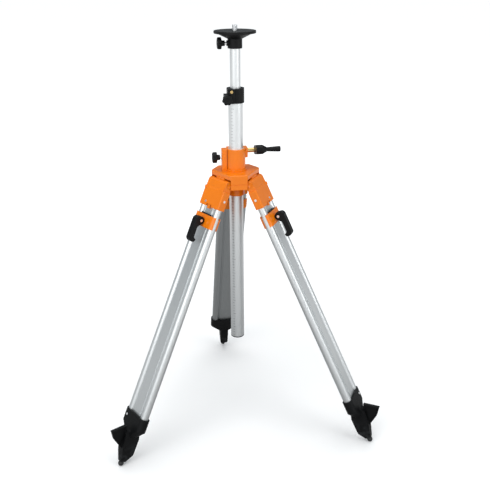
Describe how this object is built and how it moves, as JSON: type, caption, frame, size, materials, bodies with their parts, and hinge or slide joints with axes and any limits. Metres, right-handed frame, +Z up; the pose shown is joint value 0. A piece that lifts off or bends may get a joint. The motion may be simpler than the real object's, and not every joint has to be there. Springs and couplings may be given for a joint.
{
  "type": "elevating tripod",
  "caption": "Elevating surveying tripod for a laser level: a crank-geared telescopic column with a threaded instrument stud, on folding legs that telescope and lock with levers.",
  "frame": {"origin": "the point on the floor under the column's axis, in the plane that the three feet stand on", "axes": "+Z up along the column, +Y towards the rear leg, +X to the right when seen from the two front legs; the crank points along +X"},
  "size_m": [0.8768, 0.7634, 1.35],
  "materials": {
    "orange_moulding": "glossy orange, moulded, rounded edges",
    "black_plastic": "satin black glass-filled plastic",
    "anodised_tube": "clear anodised extrusion with fine draw lines",
    "zinc_steel": "bright zinc plated",
    "brass": "yellow passivated, satin",
    "bearing_plastic": "natural acetal",
    "tip_rubber": "matt black rubber"
  },
  "bodies": {
    "head": {"tripod_head": "orange_moulding", "gear_housing": "orange_moulding", "guide_bushes": "bearing_plastic", "brake_shoe": "bearing_plastic", "shaft_bushes": "brass", "lower_guide_ring": "orange_moulding", "ring_screws": "zinc_steel", "rear_pivot_bolt": "zinc_steel", "left_pivot_bolt": "zinc_steel", "right_pivot_bolt": "zinc_steel"},
    "column": {"outer_column": "anodised_tube", "column_rack": "zinc_steel", "column_end_plug": "black_plastic", "column_collar": "black_plastic", "collar_screw": "brass"},
    "inner_column": {"inner_column": "anodised_tube", "inner_guide_ring": "bearing_plastic"},
    "head_plate": {"head_plate": "black_plastic", "instrument_stud": "zinc_steel"},
    "crank": {"crank_shaft": "brass", "pinion": "zinc_steel", "crank_arm": "black_plastic", "handle_screw": "zinc_steel"},
    "crank_handle": {"crank_handle": "black_plastic"},
    "housing_knob": {"housing_knob": "black_plastic", "housing_knob_screw": "zinc_steel"},
    "collar_knob": {"collar_knob": "black_plastic", "collar_knob_screw": "zinc_steel"},
    "head_knob": {"head_knob": "black_plastic", "head_knob_screw": "zinc_steel"},
    "rear_leg": {"rear_leg_head": "orange_moulding", "rear_upper_leg": "anodised_tube", "rear_leg_rivets": "zinc_steel"},
    "rear_lower_leg": {"rear_lower_leg": "anodised_tube", "rear_clamp_front": "orange_moulding", "rear_clamp_back": "orange_moulding", "rear_lever_pin": "zinc_steel", "rear_foot": "black_plastic", "rear_foot_tip": "tip_rubber"},
    "rear_lever": {"rear_clamp_lever": "black_plastic"},
    "left_leg": {"left_leg_head": "orange_moulding", "left_upper_leg": "anodised_tube", "left_leg_rivets": "zinc_steel"},
    "left_lower_leg": {"left_lower_leg": "anodised_tube", "left_clamp_front": "orange_moulding", "left_clamp_back": "orange_moulding", "left_lever_pin": "zinc_steel", "left_foot": "black_plastic", "left_foot_tip": "tip_rubber"},
    "left_lever": {"left_clamp_lever": "black_plastic"},
    "right_leg": {"right_leg_head": "orange_moulding", "right_upper_leg": "anodised_tube", "right_leg_rivets": "zinc_steel"},
    "right_lower_leg": {"right_lower_leg": "anodised_tube", "right_clamp_front": "orange_moulding", "right_clamp_back": "orange_moulding", "right_lever_pin": "zinc_steel", "right_foot": "black_plastic", "right_foot_tip": "tip_rubber"},
    "right_lever": {"right_clamp_lever": "black_plastic"}
  },
  "joints": [
    {"name": "column_lift", "type": "slide", "parent": "head", "child": "column", "axis": [0, 0, 1], "range_m": [-0.14, 0.43]},
    {"name": "inner_extension", "type": "slide", "parent": "column", "child": "inner_column", "axis": [0, 0, 1], "range_m": [-0.115, 0.3]},
    {"name": "head_swivel", "type": "hinge", "parent": "inner_column", "child": "head_plate", "pos_m": [0, 0, 1.3], "axis": [0, 0, 1], "continuous": true},
    {"name": "crank_turn", "type": "hinge", "parent": "head", "child": "crank", "pos_m": [0, 0.034, 0.955], "axis": [-1, 0, 0], "range_deg": [-892, 2738]},
    {"name": "handle_spin", "type": "hinge", "parent": "crank", "child": "crank_handle", "pos_m": [0.064, -0.00276, 0.96464], "axis": [1, 0, 0], "continuous": true},
    {"name": "housing_knob_turn", "type": "hinge", "parent": "head", "child": "housing_knob", "pos_m": [-0.05, 0, 0.944], "axis": [-1, 0, 0], "range_deg": [0, 720]},
    {"name": "collar_knob_turn", "type": "hinge", "parent": "column", "child": "collar_knob", "pos_m": [-0.0295, -0.03, 1.131], "axis": [0, -1, 0], "range_deg": [0, 720]},
    {"name": "head_knob_turn", "type": "hinge", "parent": "head_plate", "child": "head_knob", "pos_m": [-0.031, 0, 1.296], "axis": [-1, 0, 0], "range_deg": [0, 720]},
    {"name": "rear_leg_fold", "type": "hinge", "parent": "head", "child": "rear_leg", "pos_m": [0, 0.0631, 0.87], "axis": [-1, 0, 0], "range_deg": [0, 24.5]},
    {"name": "rear_leg_extend", "type": "slide", "parent": "rear_leg", "child": "rear_lower_leg", "axis": [0, 0.4342, -0.9008], "range_m": [0, 0.45]},
    {"name": "rear_lever_open", "type": "hinge", "parent": "rear_lower_leg", "child": "rear_lever", "pos_m": [0, 0.14673, 0.76489], "axis": [1, 0, 0], "range_deg": [0, 95]},
    {"name": "left_leg_fold", "type": "hinge", "parent": "head", "child": "left_leg", "pos_m": [-0.05465, -0.03155, 0.87], "axis": [0.5, -0.866, 0], "range_deg": [0, 24.5]},
    {"name": "left_leg_extend", "type": "slide", "parent": "left_leg", "child": "left_lower_leg", "axis": [-0.376, -0.2171, -0.9008], "range_m": [0, 0.45]},
    {"name": "left_lever_open", "type": "hinge", "parent": "left_lower_leg", "child": "left_lever", "pos_m": [-0.12707, -0.07337, 0.76489], "axis": [-0.5, 0.866, 0], "range_deg": [0, 95]},
    {"name": "right_leg_fold", "type": "hinge", "parent": "head", "child": "right_leg", "pos_m": [0.05465, -0.03155, 0.87], "axis": [0.5, 0.866, 0], "range_deg": [0, 24.5]},
    {"name": "right_leg_extend", "type": "slide", "parent": "right_leg", "child": "right_lower_leg", "axis": [0.376, -0.2171, -0.9008], "range_m": [0, 0.45]},
    {"name": "right_lever_open", "type": "hinge", "parent": "right_lower_leg", "child": "right_lever", "pos_m": [0.12707, -0.07337, 0.76489], "axis": [-0.5, -0.866, 0], "range_deg": [0, 95]}
  ],
  "couplings": [
    {"joint": "crank_turn", "follows": "column_lift", "rad_per_m": 111.11}
  ]
}
